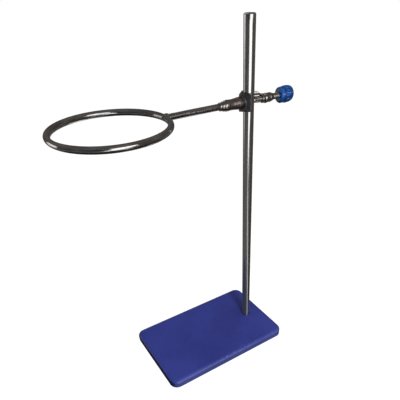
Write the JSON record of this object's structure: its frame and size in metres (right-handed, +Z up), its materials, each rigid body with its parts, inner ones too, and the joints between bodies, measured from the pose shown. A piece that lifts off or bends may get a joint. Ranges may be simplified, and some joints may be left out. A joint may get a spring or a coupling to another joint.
{
  "type": "retort stand",
  "caption": "Laboratory retort stand: a round steel rod upright in a rectangular base plate, with a ring on an open-sided clamp that slides along the rod and is locked by a lobed knob.",
  "frame": {"origin": "the rod's axis at the bench surface, under the feet", "axes": "+Z up along the rod; +X points away from the ring, from the rod towards the knob, so the base plate and ring reach towards -X; the clamp's open side faces -Y"},
  "size_m": [0.273, 0.13, 0.39],
  "materials": {
    "base_paint": "semi-gloss indigo paint on cast iron",
    "foot_rubber": "matt",
    "zinc_fixings": "bright zinc plate",
    "rod_steel": "polished along the rod",
    "clamp_plating": "chrome plate on a casting",
    "ring_plating": "chrome plate",
    "screw_steel": "bright plated",
    "knob_plastic": "gloss blue moulding"
  },
  "bodies": {
    "base": {"base_casting": "base_paint", "rubber_feet": "foot_rubber", "foot_washers": "zinc_fixings", "foot_screws": "zinc_fixings", "spring_washer": "zinc_fixings", "rod_nut": "zinc_fixings"},
    "rod": {"support_rod": "rod_steel"},
    "clamp": {"clamp_boss": "clamp_plating", "ring_stem": "ring_plating", "ring_hoop": "ring_plating", "hoop_weld": "ring_plating"},
    "clamp_screw": {"clamp_screw": "screw_steel"},
    "knob": {"knob": "knob_plastic"}
  },
  "joints": [
    {"name": "clamp_swivel", "type": "hinge", "parent": "base", "child": "rod", "pos_m": [0, 0, 0.013], "axis": [0, 0, 1], "continuous": true},
    {"name": "clamp_slide", "type": "slide", "parent": "rod", "child": "clamp", "axis": [0, 0, 1], "range_m": [-0.285, 0.055]},
    {"name": "screw_advance", "type": "slide", "parent": "clamp", "child": "clamp_screw", "axis": [1, 0, 0], "range_m": [0, 0.01]},
    {"name": "knob_turn", "type": "hinge", "parent": "clamp_screw", "child": "knob", "pos_m": [0.0502, 0, 0.32], "axis": [1, 0, 0], "range_deg": [0, 3600]}
  ],
  "couplings": [
    {"joint": "knob_turn", "follows": "screw_advance", "rad_per_m": 6283.2}
  ]
}
